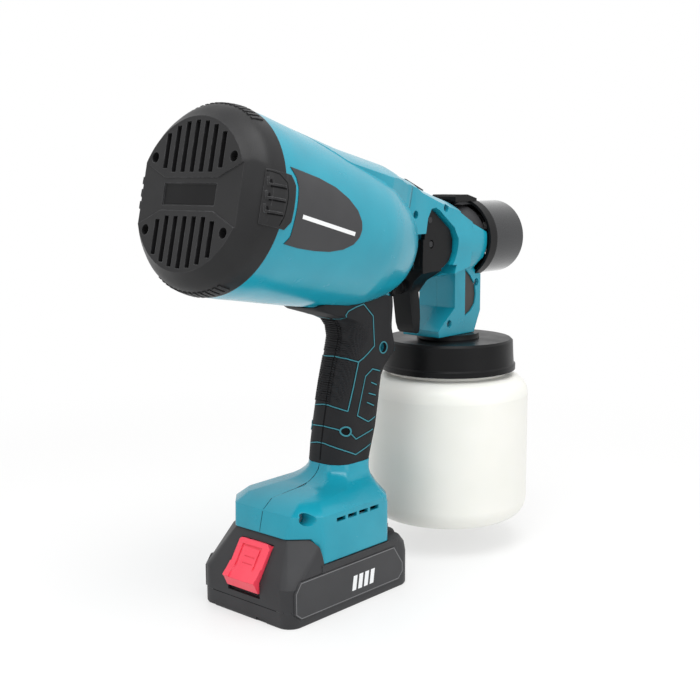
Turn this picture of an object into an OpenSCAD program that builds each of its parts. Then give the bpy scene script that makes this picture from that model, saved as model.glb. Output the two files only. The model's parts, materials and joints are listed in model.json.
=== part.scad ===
// Cordless turbine paint spray gun, standing on its battery.
// Millimetres. Origin at the centre of the battery's underside, +X the spray direction, +Z up.

/* [Battery] */
// Width of the battery across its side faces
bat_w = 75; // [70:0.5:80]
// Length of the battery block
bat_l = 107.4; // [100:0.2:115]
// Wall of the battery shells
bat_wall = 2.2; // [1.5:0.1:3]
// Height of the joint between the battery shells
bat_seam = 9.7; // [8:0.1:12]

/* [Housing] */
// Nose-down lean of the barrel against the battery base, degrees
lean = 12.84; // [10:0.01:16]
// Thickness of the foot's moulded wall
wall = 2.6; // [2:0.1:4]
// Half width of the foot above the battery
foot_hw = 36.5; // [34:0.1:38]
// Half width of the handle over the rubber
grip_hw = 16; // [14:0.1:19]

/* [Spray head] */
// Height of the needle and nozzle axis
noz_z = 208.5; // [200:0.1:215]
// Outer radius of the head around the nozzle
head_r = 24.6; // [22:0.1:26]
// Outer radius of the nozzle shroud
shroud_r = 24.9; // [22:0.1:26]
// Half width of the column that carries the cup
col_hw = 15; // [12:0.1:18]
// Radius of the paint needle
needle_r = 1.6; // [1:0.1:2.5]

/* [Cup] */
// Position of the cup axis along the gun
cup_x = 139.9; // [130:0.1:150]
// Outer radius of the cup
cup_r = 54.8; // [45:0.1:60]
// Height of the cup's underside above the floor
cup_z = 18.9; // [10:0.1:30]
// Wall of the cup
cup_wall = 2; // [1.5:0.1:3]

/* [Trigger] */
// Distance of the trigger pivot along the gun
piv_x = 91.4; // [88:0.1:95]
// Height of the trigger pivot
piv_z = 223.3; // [220:0.1:226]
// Running clearance of pins and plungers
run = 0.08; // [0.05:0.01:0.15]

/* [Hidden] */
teal = [0.13, 0.55, 0.63];
black = [0.13, 0.13, 0.14];
dark = [0.2, 0.2, 0.21];
steel = [0.7, 0.7, 0.72];
hb = bat_w/2;
lb = bat_l/2;

// ---------- helpers ----------
module tilt() {
  translate([60, 0, 208.6]) rotate([0, lean, 0]) children();
}
// revolved about X from [x, r] points
module rx(p, fn = 96) {
  rotate([0, 90, 0]) rotate_extrude($fn = fn) polygon([for (q = p) [q[1], q[0]]]);
}
// revolved about Z from [r, z] points
module rz(p, fn = 96) {
  rotate_extrude($fn = fn) polygon(p);
}
// tube or rod along X
module tx(x0, x1, r, ri = 0, fn = 64) {
  translate([x0, 0, 0]) rotate([0, 90, 0]) difference() {
    cylinder(h = x1 - x0, r = r, $fn = fn);
    if (ri > 0) translate([0, 0, -1]) cylinder(h = x1 - x0 + 2, r = ri, $fn = fn);
  }
}
// rod along Y
module ty(x, z, y0, y1, r, fn = 48) {
  translate([x, y1, z]) rotate([90, 0, 0]) cylinder(h = y1 - y0, r = r, $fn = fn);
}
// side profile in X and Z, extruded from y0 to y1
module side(p, y0, y1) {
  translate([0, y1, 0]) rotate([90, 0, 0]) linear_extrude(y1 - y0) polygon(p);
}
// plan profile in X and Y, extruded from z0 to z1
module plan(p, z0, z1) {
  translate([0, 0, z0]) linear_extrude(z1 - z0) polygon(p);
}
// box between two corners
module bb(x0, x1, y0, y1, z0, z1) {
  translate([x0, y0, z0]) cube([x1 - x0, y1 - y0, z1 - z0]);
}
// box with rounded plan corners
module rb(x0, x1, hy, z0, z1, r, fn = 40) {
  translate([0, 0, z0]) linear_extrude(z1 - z0) union() {
    translate([x0 + r, -hy]) square([x1 - x0 - 2*r, 2*hy]);
    translate([x0, -hy + r]) square([x1 - x0, 2*hy - 2*r]);
    for (x = [x0 + r, x1 - r]) {
      for (y = [-hy + r, hy - r]) {
        translate([x, y]) circle(r = r, $fn = fn);
      }
    }
  }
}
// corner b of an outline, rounded to radius r between its neighbours a and c
function arc_at(a, b, c, r, n) =
  let(
    u = (a - b)/norm(a - b),
    v = (c - b)/norm(c - b),
    half = acos(u*v)/2,
    m = b + (u + v)/norm(u + v)*r/sin(half),
    s = b + u*r/tan(half) - m,
    a0 = atan2(s[1], s[0]),
    turn = 180 - 2*half
  )
  [for (i = [0:n]) m + r*[cos(a0 + i*turn/n), sin(a0 + i*turn/n)]];
// eight-sided outline: rear X, front X, half width, rear and front chamfers, corner radius, inset
function octo(x0, x1, h, cr, cf, r, g = 0) =
  let(
    a = x0 + g,
    b = x1 - g,
    k = h - g,
    p = cr - 0.586*g,
    q = cf - 0.586*g,
    o = [[a, p - k], [a + p, -k], [b - q, -k], [b, q - k], [b, k - q], [b - q, k], [a + p, k], [a, k - p]]
  )
  [for (i = [0:7]) each arc_at(o[(i + 7)%8], o[i], o[(i + 1)%8], r, 2)];
// skin over a stack of outlines with the same count of points
module skin(outlines, heights) {
  m = len(outlines[0]);
  t = len(outlines) - 1;
  pts = [for (k = [0:t]) for (p = outlines[k]) [p[0], p[1], heights[k]]];
  sides = [for (k = [0:t - 1]) for (i = [0:m - 1]) for (j = [0, 1])
    j == 0 ? [k*m + i, (k + 1)*m + i, k*m + (i + 1)%m]
           : [k*m + (i + 1)%m, (k + 1)*m + i, (k + 1)*m + (i + 1)%m]];
  caps = [[for (i = [0:m - 1]) i], [for (i = [m - 1:-1:0]) t*m + i]];
  polyhedron(points = pts, faces = concat(sides, caps), convexity = 6);
}
// half spaces for the two moulded halves
module right_side() {
  intersection() {
    children();
    bb(-300, 300, -200, 0, -50, 400);
  }
}
module left_side() {
  intersection() {
    children();
    bb(-300, 300, 0, 200, -50, 400);
  }
}

// ---------- battery ----------
// sloped frame of the latch: origin at the top edge of the button, +X outwards, -Z down the slope
module slope() {
  translate([-42.65, 0, 42.8]) rotate([0, 32, 0]) mirror([1, 0, 0]) children();
}
module battery_outer_upper() {
  // block whose front edge is rounded off
  rb(-lb, 45, hb, bat_seam, 23, 9);
  bb(-27, 40, -hb, hb, 22.9, 31.4);
  hull() {
    rb(0, lb, hb, bat_seam, 21, 9);
    rb(0, 52.2, hb - 0.2, 26.8, 27, 9);
    rb(0, 48.6, hb - 0.8, 31.2, 31.4, 9);
  }
  // sloped tail, as wide as the pack, cut to the rear edge of the foot
  difference() {
    hull() {
      rb(-lb, -18, hb, 22.8, 23, 9);
      translate([0, 0, 46.2]) linear_extrude(0.15) polygon(octo(-39.1, -10, 35.8, 14.8, 2, 1.6));
    }
    side([[-25, 31.5], [-25, 32.9], [-26.1, 37.8], [-27.8, 42.5], [-29.8, 46.1], [-30.4, 46.2], [-30.4, 60],
      [20, 60], [20, 31.5]], -60, 60);
  }
  // rail neck and flange that slide in the foot
  bb(-32, 43, -27, 27, 31, 35.4);
  bb(-34, 40, -30, 30, 35.3, 39.5);
  // rounded step in front of the foot
  side([[38, 31], [50, 31], [48.6, 33], [46, 34.8], [43, 35.4], [38, 35.4]], -27, 27);
}
module battery_pockets() {
  for (s = [-1, 1]) {
    translate([0, s*hb, 0]) rotate([90, 0, 0]) translate([0, 0, -1])
      linear_extrude(2) panel_shape(0.15);
  }
}
module panel_shape(g) {
  union() {
    translate([-45 - g, 5 - g]) square([81.5 + 2*g, 22 + 2*g]);
    translate([36, 5 - g]) square([6 + g, 14 + g]);
    polygon([[36, 27 + g], [36.7 + g, 27 + g], [45.2 + g, 15 + g], [45.2 + g, 9], [41, 5 - g], [36, 5 - g]]);
    polygon([[-45, 5 - g], [-49.5 - g, 8.5], [-49.5 - g, 21], [-45, 27 + g]]);
  }
}
module battery_case_lower() {
  color(black) difference() {
    intersection() {
      rb(-lb, lb, hb, 0, bat_seam, 9);
      hull() {
        rb(-lb + 0.7, lb - 0.7, hb - 0.7, 0, 0.5, 8.4);
        rb(-lb, lb, hb, 1.2, 12, 9);
      }
    }
    difference() {
      rb(-lb + bat_wall, lb - bat_wall, hb - bat_wall, bat_wall, 20, 7);
      for (x = [-48.6, 48.6]) {
        for (y = [-29.8, 29.8]) {
          translate([x, y, 0]) cylinder(h = 15, r = 2.7, $fn = 32);
        }
      }
    }
    for (x = [-48.6, 48.6]) {
      for (y = [-29.8, 29.8]) {
        translate([x, y, -1]) cylinder(h = 15, r = 1.35, $fn = 32);
        translate([x, y, -1]) cylinder(h = 3.6, r = 2.3, $fn = 32);
      }
    }
    battery_pockets();
    // finger notches under the tail
    bb(-60, -52.6, 25, 33, -1, 2.2);
    bb(-60, -52.6, -18, -10, -1, 2.2);
  }
}
module battery_case_upper() {
  color(black) difference() {
    battery_outer_upper();
    // cell space
    difference() {
      union() {
        rb(-49.4, 50.6, hb - bat_wall, bat_seam - 1, 23.6, 6);
        rb(-30, 47, hb - 2.6, 23.5, 29.2, 6);
      }
      for (x = [-48.6, 48.6]) {
        for (y = [-29.8, 29.8]) {
          translate([x, y, 0]) cylinder(h = 40, r = 2.5, $fn = 32);
        }
      }
    }
    for (x = [-48.6, 48.6]) {
      for (y = [-29.8, 29.8]) {
        translate([x, y, bat_seam - 1]) cylinder(h = 11, r = 1.15, $fn = 32);
      }
    }
    // space for the latch under the tail
    side([[-60, 13.4], [-50.9, 13.4], [-50.9, 24.5], [-40.3, 41.46], [-49.4, 47.1], [-60, 30.2]], -13.3, 13.3);
    slope() bb(-5.4, -2.2, -6, 6, -12, 14);
    slope() bb(-8.5, -2.2, -6, 6, -14.7, -3.4);
    // terminal slots
    for (y = [-12, 0, 12]) {
      bb(8, 60, y - 1.5, y + 1.5, 32.6, 50);
      bb(12, 28, y - 2.9, y + 2.9, 28, 38.2);
    }
    battery_pockets();
  }
}
module battery_side_panels() {
  color(dark) for (s = [-1, 1]) {
    translate([0, s*(hb - 0.35), 0]) rotate([90, 0, 0]) translate([0, 0, -0.6])
      linear_extrude(1.2) panel_shape(0);
  }
}
module battery_cells() {
  color([0.2, 0.45, 0.3]) for (i = [-2:2]) {
    ty(i*18.5, 13.2, -32.5, 32.5, 9.05);
  }
}
module battery_cell_holder() {
  color(dark) difference() {
    for (s = [-1, 1]) {
      rb(-46.8, 46.8, 3, 3, 24.2, 1);
      translate([0, s*24, 0]) rb(-46.8, 46.8, 3, 2.4, 24.2, 1);
    }
    for (i = [-2:2]) {
      ty(i*18.5, 13.2, -40, 40, 9.1);
    }
    bb(-60, 60, -60, 60, -1, 4.6);
    bb(-60, 60, -60, 60, 22.6, 30);
  }
}
module battery_board() {
  color([0.1, 0.35, 0.2]) union() {
    bb(-14, 30, -24, 24, 24.6, 26.2);
    bb(-8, 0, -18, -8, 26.1, 28);
    bb(-8, 2, 6, 18, 26.1, 27.6);
  }
}
module battery_contacts() {
  color([0.8, 0.65, 0.3]) for (y = [-12, 0, 12]) {
    for (s = [-1, 1]) {
      bb(13, 27, y + s*1.1 - 0.3, y + s*1.1 + 0.3, 26.2, 37.6);
    }
    bb(13, 27, y - 0.9, y + 0.9, 26.2, 27.4);
  }
}
module battery_latch_button() {
  color([0.85, 0.12, 0.2]) difference() {
    slope() union() {
      // plate, proud lip at its lower end and skirt under the lip
      side([[-2.3, -0.5], [0.9, -0.5], [1.5, -1.1], [1.5, -15.5], [2, -19.5], [3, -23.4], [3.1, -24.8],
        [1.3, -25.4], [-3.6, -28.6], [-6.4, -26.8], [-3.6, -22.3], [-2.3, -20]], -12.8, 12.8);
      // arm and tooth behind the plate
      bb(-4.9, -2.2, -5.5, 5.5, -8, 12);
      bb(-8, -2.2, -5.5, 5.5, -8, -4);
    }
    // U-shaped panel, open towards the lip, with two fine grooves
    slope() difference() {
      side([[0.7, -4], [9, -4], [9, -30], [2.6, -30], [2, -19.5], [0.7, -16.5]], -8, 8);
      bb(-3, 1.5, -6.6, 6.6, -40, -5.2);
    }
    for (z = [-10.6, -14.6]) {
      slope() bb(1.2, 9, -5, 3, z - 0.25, z + 0.25);
    }
    // bevelled top of the tooth, under the foot's edge
    side([[-60, 44.6], [-38.4, 44.6], [-34, 42.3], [0, 42.3], [0, 60], [-60, 60]], -20, 20);
    // bevels of the plate's top corners and sides
    for (s = [-1, 1]) {
      slope() translate([0, s*12.8, -0.5]) rotate([45, 0, 0]) bb(-2.2, 9, -1.6, 1.6, -1.6, 1.6);
      slope() translate([1.5, s*12.8, -15.5]) rotate([0, 0, 45]) bb(-0.6, 0.6, -0.6, 0.6, 0, 24);
    }
  }
}
module battery_latch_spring() {
  color(steel) slope() translate([-5.3, 0, -14.6]) difference() {
    cylinder(h = 6.5, r = 2.4, $fn = 24);
    translate([0, 0, -1]) cylinder(h = 12, r = 1.7, $fn = 24);
  }
}
module battery_screws() {
  color(steel) for (x = [-48.6, 48.6]) {
    for (y = [-29.8, 29.8]) {
      translate([x, y, 2.5]) cylinder(h = 14.1, r = 1.12, $fn = 24);
      translate([x, y, 0.9]) cylinder(h = 1.68, r = 2.2, $fn = 24);
    }
  }
}

// ---------- main housing ----------
cap_x = -131.3;
dome_out = [
  [cap_x, 51.8], [-122, 51.5], [-107, 50.4], [-90, 49.3], [-70, 48.0], [-50, 46.4], [-32, 44.6],
  [-22.5, 42.6], [-12.8, 39.6], [-5, 36.8], [1, 34.4], [6, 31.6], [9.8, 28.2], [12, 24.8], [12.5, 23.6]
];
module dome_solid(g = 0) {
  rx(concat([for (q = dome_out) [q[0], q[1] + g]], [[12.5 + g, 23.6 + g], [12.5 + g, 0], [cap_x, 0]]), 80);
}
module dome_inner() {
  rx([[cap_x - 1, 0], [cap_x - 1, 49.2], [-127.2, 49.2], [-127.2, 48.6], [-115, 48.4], [-100, 47.4],
    [-80, 46], [-60, 44.2], [-42.5, 43], [-22.5, 39.6], [-12.8, 36.4], [-2, 32.4], [4, 28.4], [8, 23],
    [9.8, 18], [9.8, 0]], 32);
}
module spine_outer() {
  intersection() {
    rx([[-102, 0], [-102, 50], [-80, 48.9], [-60, 47.8], [-19, 47.8], [-13, 47], [-7, 45.4], [6, 44.6],
      [40, 43], [40, 0]], 80);
    plan([[-101, -9], [-86, -23], [-66, -30.6], [-24, -30.6], [-4, -26], [4, -25], [4, 25], [-4, 26],
      [-24, 30.6], [-66, 30.6], [-86, 23], [-101, 9]], 5, 60);
  }
}
module seam_cut() {
  // everything in front of the joint with the spray head, above the notch
  side([[63.2, 300], [63.2, 214.7], [100, 214.7], [100, 300]], -25.4, 25.4);
}
// handle sections in the leaning frame: height, rear X, front X, corner radius
handle_secs = [
  [-142, -18.4, 14.6, 12], [-126, -20, 15.7, 12], [-112, -20.6, 16.9, 12], [-101, -20.7, 16.6, 12],
  [-90, -20.6, 15.9, 12], [-80, -20.2, 15.6, 12], [-74, -19.6, 17, 11.5], [-67, -18.6, 21.6, 11],
  [-63.4, -18.2, 24.2, 10.5], [-60, -18.2, 24, 10.5], [-54, -20.6, 20.2, 10], [-50.6, -25, 18.6, 10],
  [-49.2, -34, 18, 10], [-48.2, -56, 17.8, 10], [-46.4, -61.6, 17.4, 10], [-36, -61.6, 16, 10],
  [-24, -61.6, 13, 10]
];
// rounded rectangle, counted anticlockwise from the rear right corner
function rsec(x0, x1, h, r) = [
  for (c = [[x0 + r, -h + r, 180], [x1 - r, -h + r, 270], [x1 - r, h - r, 0], [x0 + r, h - r, 90]])
    for (i = [0:6]) [c[0] + r*cos(c[2] + i*15), c[1] + r*sin(c[2] + i*15)]
];
// the handle lofted through its sections, shrunk by g
module handle_loft(g, top = 17) {
  m = 28;
  q = [for (k = [0:top - 1]) handle_secs[k]];
  pts = [for (s = q) for (p = rsec(s[1] + g, s[2] - g, grip_hw - g, s[3] - g)) [p[0], p[1], s[0]]];
  sides = [for (k = [0:top - 2]) for (i = [0:m - 1]) for (t = [0, 1])
    t == 0 ? [k*m + i, (k + 1)*m + i, k*m + (i + 1)%m]
           : [k*m + (i + 1)%m, (k + 1)*m + i, (k + 1)*m + (i + 1)%m]];
  caps = [[for (i = [0:m - 1]) i], [for (i = [m - 1:-1:0]) (top - 1)*m + i]];
  polyhedron(points = pts, faces = concat(sides, caps), convexity = 6);
}
// foot sections: height, rear X, front X, half width, rear chamfer, front chamfer, corner radius
foot_secs = [
  [31.9, -40.3, 43, 0, 15.8, 11, 4], [47.6, -40.3, 43, 0, 15.8, 11, 4], [56.4, -38.2, 43, 0, 13.7, 11, 4],
  [56.8, -38.1, 41.2, 0, 13.6, 10, 4], [59.6, -37.5, 41.2, 0, 13, 10, 4], [65.4, -29.7, 38.6, 7.3, 8.9, 8, 3],
  [67.2, -3.4, 40, 10.6, 9, 8, 3], [68.6, 1, 42, 14, 9, 8.6, 4], [70.4, 4.8, 43.8, 16.6, 9, 8.8, 4.6],
  [72.6, 7.8, 45, 18.6, 8.6, 8.6, 5], [75, 9.8, 46, 19.9, 8.2, 8.2, 5.4], [78.1, 10.7, 46.4, 20.4, 7.8, 7.8, 5.6]
];
module foot_loft(g, top = 11) {
  skin([for (k = [0:top]) let(q = foot_secs[k]) octo(q[1], q[2], foot_hw - q[3], q[4], q[5], q[6], g)],
    [for (k = [0:top]) foot_secs[k][0]]);
}
module foot_rear_cut() {
  side([[-70, 20], [-24.6, 20], [-24.6, 32.9], [-25.7, 37.8], [-27.4, 42.6], [-29.4, 46.6], [-30.2, 46.8],
    [-70, 46.8]], -60, 60);
}
module body_outer() {
  difference() {
    union() {
      tilt() {
        dome_solid();
        spine_outer();
        handle_loft(2.2);
        // strip along the handle's upper front edge
        intersection() {
          handle_loft(0);
          side(strip_zone, -40, 40);
        }
        // belly blend between barrel and handle
        side([[-62, -38], [-50, -43.5], [-26, -47], [5, -38.4], [5, -20], [-62, -20]], -13.6, 13.6);
      }
      foot_loft(0);
    }
    seam_cut();
    foot_rear_cut();
  }
}
module body_cavity() {
  tilt() {
    dome_inner();
    // handle core
    handle_loft(5);
    // hollow under the spine
    intersection() {
      rx([[-50, 45.2], [-12, 44], [-8, 41.4], [-8, 20], [-50, 20]], 40);
      bb(-44, -10, -22, 22, 24, 47.4);
    }
  }
  // foot
  difference() {
    translate([0, 0, -2.4]) intersection() {
      foot_loft(wall);
      bb(-37, 60, -60, 60, 37.4, 90);
    }
    // shelf ribs that carry the terminal block
    for (s = [-1, 1]) {
      bb(8, 11, s > 0 ? 18.2 : -40, s > 0 ? 40 : -18.2, 43, 53);
      bb(32, 35, s > 0 ? 18.2 : -40, s > 0 ? 40 : -18.2, 43, 53);
    }
    // floor over the battery's tail
    side([[-60, 30], [-22, 30], [-22, 34], [-24, 42], [-27, 49.4], [-60, 49.4]], -60, 60);
  }
  // rail channel
  bb(-60, 60, -27.5, 27.5, 30, 36);
  bb(-60, 40.9, -30.6, 30.6, 35, 40.4);
}
module screw_post_holes() {
  // through holes with head recesses on the right side
  for (q = post_xy) {
    ty(q[0], q[1], -60, q[2], 1.5, 32);
    ty(q[0], q[1], -60, -q[2], q[3], 32);
  }
}
// world X, world Z, depth of the head seat, radius of the recess over it
post_xy = [[34, 104, 9.4, 3], [52, 146.2, 9.4, 3], [-31, 58, 21, 3.5]];
module posts() {
  for (q = post_xy) {
    ty(q[0], q[1], -60, 60, q[3] + 1.5, 32);
  }
}
module body_half() {
  difference() {
    union() {
      difference() {
        body_outer();
        body_cavity();
      }
      intersection() {
        posts();
        body_outer();
      }
    }
    screw_post_holes();
    // opening for the air outlet
    translate([0, 0, noz_z]) tx(55, 90, 12.4);
    // vents of the foot
    for (i = [0:3]) {
      bb(-13.7 + i*9.8, -6.1 + i*9.8, -60, 60, 54.2, 56.6);
    }
    // window of the switch plunger
    tilt() translate([0, 0, -26]) tx(2, 40, 4.4);
    // cap screw bores
    tilt() for (y = [-31.2, 31.2]) {
      for (z = [-19.7, 19.7]) {
        translate([0, y, z]) tx(cap_x - 5, -114, 1.3, 0, 24);
      }
    }
  }
}
module cap_posts() {
  tilt() intersection() {
    for (y = [-31.2, 31.2]) {
      for (z = [-19.7, 19.7]) {
        difference() {
          union() {
            translate([0, y, z]) tx(-127, -117.5, 3.6, 0, 32);
            rotate([atan2(z, y), 0, 0]) bb(-127, -117.5, 37, 49, -1.5, 1.5);
          }
          translate([0, y, z]) tx(cap_x - 5, -116, 1.3, 0, 24);
        }
      }
    }
    dome_solid(-1);
  }
}
module housing_right() {
  color(teal) right_side() union() {
    body_half();
    cap_posts();
  }
}
module housing_left() {
  color(teal) left_side() union() {
    body_half();
    cap_posts();
  }
}
// side view of the bare strip on the handle's front edge
strip_zone = [[13.6, -24], [14, -33], [15, -48], [19.6, -60], [19.6, -63.6], [60, -63.6], [60, -24]];
module grip_shape() {
  difference() {
    tilt() difference() {
      handle_loft(0);
      handle_loft(2.2);
      // upper edge of the rubber
      side([[-90, -48.9], [-61.8, -49.3], [-54.6, -45], [-47.9, -42.7], [-26.3, -40.3], [-6.4, -30.5],
        [8.7, -30.5], [13.9, -33], [14.9, -48], [19.5, -60], [19.5, -63.7], [60, -63.7], [60, 20],
        [-90, 20]], -40, 40);
      dome_solid(0.05);
    }
    bb(-60, 90, -60, 60, 0, 78.12);
    for (q = post_xy) {
      ty(q[0], q[1], -60, 60, q[3], 32);
    }
  }
}
module grip_right() {
  color(black) right_side() grip_shape();
}
module grip_left() {
  color(black) left_side() grip_shape();
}
module badge_prism() {
  // D-shaped outline seen from the side, in the leaning frame
  side([[-127.5, 19.6], [-119, 19.4], [-104, 18.9], [-90, 17], [-79, 13.2], [-71, 8.4], [-66.6, 3],
    [-65.4, -1.4], [-66.4, -6], [-70, -10.6], [-77, -14.6], [-87, -17.6], [-99, -19.2], [-112, -20],
    [-124, -19.8], [-121.6, -15.6], [-122, -8], [-122, 10], [-123.6, 15]], -60, 60);
}
module side_badges() {
  color(black) tilt() intersection() {
    difference() {
      dome_solid(0.35);
      dome_solid(0.02);
    }
    badge_prism();
    union() {
      bb(-140, -50, -60, -30, -40, 40);
      bb(-140, -50, 30, 60, -40, 40);
    }
  }
}
module rear_cap() {
  color(black) tilt() difference() {
    rx([[-151.5, 0], [-151.5, 41.7], [-150.5, 42.7], [-146.8, 47], [-143.8, 49.6], [-140.6, 51],
      [-136.5, 51.6], [cap_x, 52], [cap_x, 48.9], [-127.4, 48.9], [-127.4, 46.6], [-141.4, 45.6],
      [-147.9, 38.6], [-147.9, 0]], 96);
    // ventilation slots, ending on a circle inside the plate's edge
    for (i = [-3:3]) {
      for (s = [-1, 1]) {
        bb(-153, -147, i*slot_pitch - 1.8, i*slot_pitch + 1.8,
          s > 0 ? slot_in(i) : -slot_out(i), s > 0 ? slot_out(i) : -slot_in(i));
      }
    }
    // band between the two grilles, flaring towards the sides
    translate([-150.9, 0, 0]) rotate([0, -90, 0]) linear_extrude(3)
      polygon([[8.8, -21], [8.8, 21], [16.6, 38], [16.6, 60], [-16.6, 60], [-16.6, 38], [-8.8, 21],
        [-8.8, -21], [-16.6, -38], [-16.6, -60], [16.6, -60], [16.6, -38]]);
    // blank name field
    bb(-153, -150.1, -20.8, 20.8, -5.9, 5.9);
    // flat facets left and right
    for (s = [-1, 1]) {
      plan([[-153, s*36.5], [-151.5, s*38.2], [-142.4, s*48.4], [-139.5, s*53], [-139.5, s*60],
        [-153, s*60]], -60, 60);
    }
    for (y = [-31.2, 31.2]) {
      for (z = [-19.7, 19.7]) {
        translate([0, y, z]) tx(-153, -140, 1.6, 0, 24);
        translate([0, y, z]) tx(-153, -144, 2.9, 0, 24);
      }
    }
  }
  // screw bosses
  color(black) tilt() for (y = [-31.2, 31.2]) {
    for (z = [-19.7, 19.7]) {
      translate([0, y, z]) difference() {
        tx(-148.3, -127.1, 4.2, 1.6, 24);
        tx(-150, -144, 2.9, 0, 24);
      }
    }
  }
}
// spacing of the slots, and their inner and outer ends
slot_pitch = 7.3;
function slot_in(i) = abs(i) == 3 ? 13.8 : 11.7;
function slot_out(i) = sqrt(39.4*39.4 - pow(slot_pitch*i, 2));
module cap_screws() {
  color(steel) tilt() for (y = [-31.2, 31.2]) {
    for (z = [-19.7, 19.7]) {
      translate([0, y, z]) tx(-145, -118, 1.25, 0, 24);
      translate([0, y, z]) tx(-145.4, -144.02, 2.4, 0, 24);
    }
  }
}
module intake_filter() {
  color([0.35, 0.35, 0.36]) tilt() difference() {
    tx(-146, -138, 40, 0, 64);
    for (y = [-31.2, 31.2]) {
      for (z = [-19.7, 19.7]) {
        translate([0, y, z]) tx(-150, -130, 4.3, 0, 24);
      }
    }
  }
}
module motor_can() {
  color(steel) tilt() difference() {
    tx(-95, -44, 22);
    tx(-93.6, -45.4, 20.6);
    tx(-96, -43, 5.6);
  }
}
module motor_stator() {
  color([0.7, 0.42, 0.2]) tilt() tx(-86, -54, 20.5, 13);
}
module motor_rotor() {
  color(dark) tilt() tx(-84, -56, 12, 2.52);
}
module motor_bearings() {
  color(steel) tilt() {
    tx(-97, -92, 5.55, 2.5 + run, 48);
    tx(-47, -42, 5.55, 2.5 + run, 48);
  }
}
module motor_mount() {
  color(dark) tilt() difference() {
    union() {
      tx(-101, -97.5, 47);
      tx(-98, -90, 24.4);
    }
    tx(-97.1, -80, 22.05);
    tx(-102, -95, 6.2);
    for (i = [0:7]) {
      rotate([i*45, 0, 0]) translate([0, 34, 0]) tx(-103, -95, 7, 0, 32);
    }
  }
}
module motor_shaft() {
  color(steel) tilt() tx(-119, -43, 2.5, 0, 48);
}
module impeller() {
  color(dark) tilt() difference() {
    union() {
      tx(-107, -105, 39.6);
      tx(-116, -105, 7);
      for (i = [0:8]) {
        rotate([i*40, 0, 0]) translate([0, 0, 0]) rotate([0, 0, 0]) bb(-114.5, -106.9, 6, 38.6, -0.7, 0.7);
      }
    }
    tx(-120, -100, 2.5);
  }
}
module fan_shroud() {
  color(dark) tilt() difference() {
    union() {
      tx(-117.4, -115.6, 45.6);
      tx(-117.4, -101.05, 45.6);
    }
    tx(-115.6, -100, 43.4);
    tx(-125, -110, 20);
  }
}
module air_duct() {
  color(dark) difference() {
    union() {
      tilt() rx([[-34, 39.2], [-34, 22], [2, 9.8], [6, 9.8], [6, 11.2], [3.4, 11.2], [0, 11.8], [-31.6, 24.4],
        [-31.6, 39.2]]);
      translate([0, 0, noz_z]) tx(62, 80, 9.7);
    }
    // gap for the motor wire
    tilt() translate([0, 4, -26]) tx(-36, -26, 1.7, 0, 20);
    tilt() rx([[-36, 0], [-36, 21.9], [2, 9.4], [4, 9.4], [4, 0]]);
    translate([0, 0, noz_z]) tx(50, 90, 8);
  }
}
module duct_seal() {
  color(black) translate([0, 0, noz_z]) translate([72.4, 0, 0]) rotate([0, 90, 0])
    rotate_extrude($fn = 48) translate([10.8, 0]) circle(r = 1.05, $fn = 20);
}
module control_board() {
  color([0.1, 0.35, 0.2]) union() {
    bb(-20, 26, -17.5, 17.5, 56.6, 58.2);
    bb(-14, -2, -10, 6, 52.6, 56.7);
    bb(4, 7.5, -14, 14, 51, 56.7);
  }
}
module terminal_block() {
  color(dark) union() {
    bb(11.2, 31.8, -18, 18, 43.2, 49.6);
  }
  color([0.8, 0.65, 0.3]) for (y = [-12, 0, 12]) {
    bb(14, 26, y - 0.45, y + 0.45, 33.8, 43.3);
  }
}
module switch_body() {
  color(black) tilt() translate([0, 0, -26]) difference() {
    bb(-14, 7, -7, 7, -8, 6.2);
    tx(-5, 8, 3.28, 0, 32);
  }
}
module switch_plunger() {
  color(dark) tilt() translate([0, 0, -26]) union() {
    tx(2.4, 23.6, 3.2, 0, 32);
    tx(22, 24.5, 4, 0, 32);
  }
}
module wiring() {
  color([0.6, 0.1, 0.1]) tilt() {
    translate([-9, 3, -155.8]) cylinder(h = 121.7, r = 1.3, $fn = 20);
    translate([-9, -3, -155.8]) cylinder(h = 121.7, r = 1.3, $fn = 20);
    translate([0, 4, -26]) tx(-42, -14.1, 1.2, 0, 20);
  }
}
module housing_screws() {
  color(steel) for (q = post_xy) {
    ty(q[0], q[1], -q[2] - 0.5, q[2] - 1, 1.45, 24);
    ty(q[0], q[1], -q[2] - 1.8, -q[2] - 0.02, 2.8, 24);
  }
}

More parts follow.
